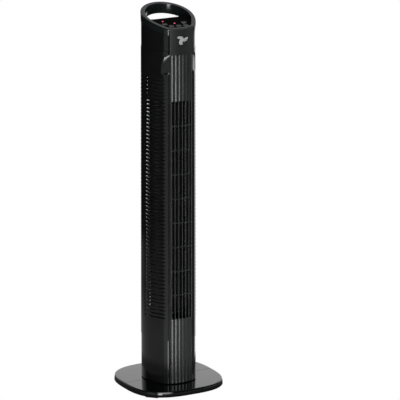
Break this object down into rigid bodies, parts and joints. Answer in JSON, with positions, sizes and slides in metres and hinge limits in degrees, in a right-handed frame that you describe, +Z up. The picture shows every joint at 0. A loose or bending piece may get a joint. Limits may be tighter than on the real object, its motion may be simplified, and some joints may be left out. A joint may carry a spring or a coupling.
{
  "type": "tower fan",
  "caption": "Black oscillating tower fan with a slatted front, louvred side intakes, a slanted head ring that serves as handle, and a rounded square base.",
  "frame": {"origin": "on the floor under the swivel axis, at the centre of the base", "axes": "+Z up along the column, the grille faces -Y, +X to the fan's left seen from behind"},
  "size_m": [0.25, 0.25, 0.96],
  "materials": {
    "gloss_black": "high gloss",
    "satin_black": "satin",
    "satin_grey": "satin",
    "dark_plastic": "matt moulded",
    "beige_nylon": "matt moulded",
    "rubber": "matt",
    "steel": "plated",
    "lamp_red": "clear lens",
    "board_green": "solder mask",
    "mark_grey": "satin print"
  },
  "bodies": {
    "base": {"base_front_half": "gloss_black", "base_rear_half": "gloss_black", "rubber_foot_1": "rubber", "rubber_foot_2": "rubber", "rubber_foot_3": "rubber", "rubber_foot_4": "rubber", "rubber_foot_5": "rubber", "rubber_foot_6": "rubber", "swivel_post": "dark_plastic", "base_lock_nut": "dark_plastic", "thrust_washer": "beige_nylon", "swivel_fork": "steel", "swivel_screw_1": "steel", "swivel_screw_2": "steel", "swivel_screw_3": "steel"},
    "column": {"handle_ring": "gloss_black", "control_panel": "gloss_black", "lower_body_shell": "satin_black", "left_intake_cover": "satin_black", "right_intake_cover": "satin_black", "head_shell": "satin_black", "handle_well": "satin_black", "front_grille": "satin_grey", "front_fascia": "satin_grey", "bottom_cap": "dark_plastic", "motor_bracket": "dark_plastic", "top_bearing_plate": "dark_plastic", "air_scroll": "dark_plastic", "air_tongue": "dark_plastic", "run_capacitor": "dark_plastic", "infrared_receiver": "dark_plastic", "top_bearing_bush": "beige_nylon", "cord_gland": "rubber", "top_bearing_rubber": "rubber", "oscillation_motor": "steel", "oscillation_bracket": "steel", "rear_screw_1": "steel", "rear_screw_2": "steel", "rear_screw_3": "steel", "rear_screw_4": "steel", "fan_motor": "steel", "left_lamp": "lamp_red", "right_lamp": "lamp_red", "control_board": "board_green", "emblem": "mark_grey"},
    "crank": {"oscillation_crank": "beige_nylon"},
    "impeller": {"motor_shaft": "steel", "coupling_hub": "beige_nylon", "impeller": "dark_plastic"},
    "power_button": {"power_button": "satin_black"},
    "speed_button": {"speed_button": "satin_black"},
    "mode_button": {"mode_button": "satin_black"},
    "timer_button": {"timer_button": "satin_black"},
    "swing_button": {"swing_button": "satin_black"}
  },
  "joints": [
    {"name": "oscillation", "type": "hinge", "parent": "base", "child": "column", "pos_m": [0, 0, 0.02], "axis": [0, 0, 1], "range_deg": [-35, 35]},
    {"name": "crank_turn", "type": "hinge", "parent": "column", "child": "crank", "pos_m": [0, 0.034, 0.034], "axis": [0, 0, 1], "range_deg": [-125, 125]},
    {"name": "fan_spin", "type": "hinge", "parent": "column", "child": "impeller", "pos_m": [0, 0.004, 0.46], "axis": [0, 0, 1], "continuous": true},
    {"name": "power_press", "type": "slide", "parent": "column", "child": "power_button", "axis": [0, 0.2865, -0.9581], "range_m": [0, 0.001], "stiffness_N_per_m": 400, "springref_m": -0.0005},
    {"name": "speed_press", "type": "slide", "parent": "column", "child": "speed_button", "axis": [0, 0.2865, -0.9581], "range_m": [0, 0.001], "stiffness_N_per_m": 400, "springref_m": -0.0005},
    {"name": "mode_press", "type": "slide", "parent": "column", "child": "mode_button", "axis": [0, 0.2865, -0.9581], "range_m": [0, 0.001], "stiffness_N_per_m": 400, "springref_m": -0.0005},
    {"name": "timer_press", "type": "slide", "parent": "column", "child": "timer_button", "axis": [0, 0.2865, -0.9581], "range_m": [0, 0.001], "stiffness_N_per_m": 400, "springref_m": -0.0005},
    {"name": "swing_press", "type": "slide", "parent": "column", "child": "swing_button", "axis": [0, 0.2865, -0.9581], "range_m": [0, 0.001], "stiffness_N_per_m": 400, "springref_m": -0.0005}
  ],
  "couplings": [
    {"joint": "crank_turn", "follows": "oscillation", "ratio": -3.5714}
  ]
}
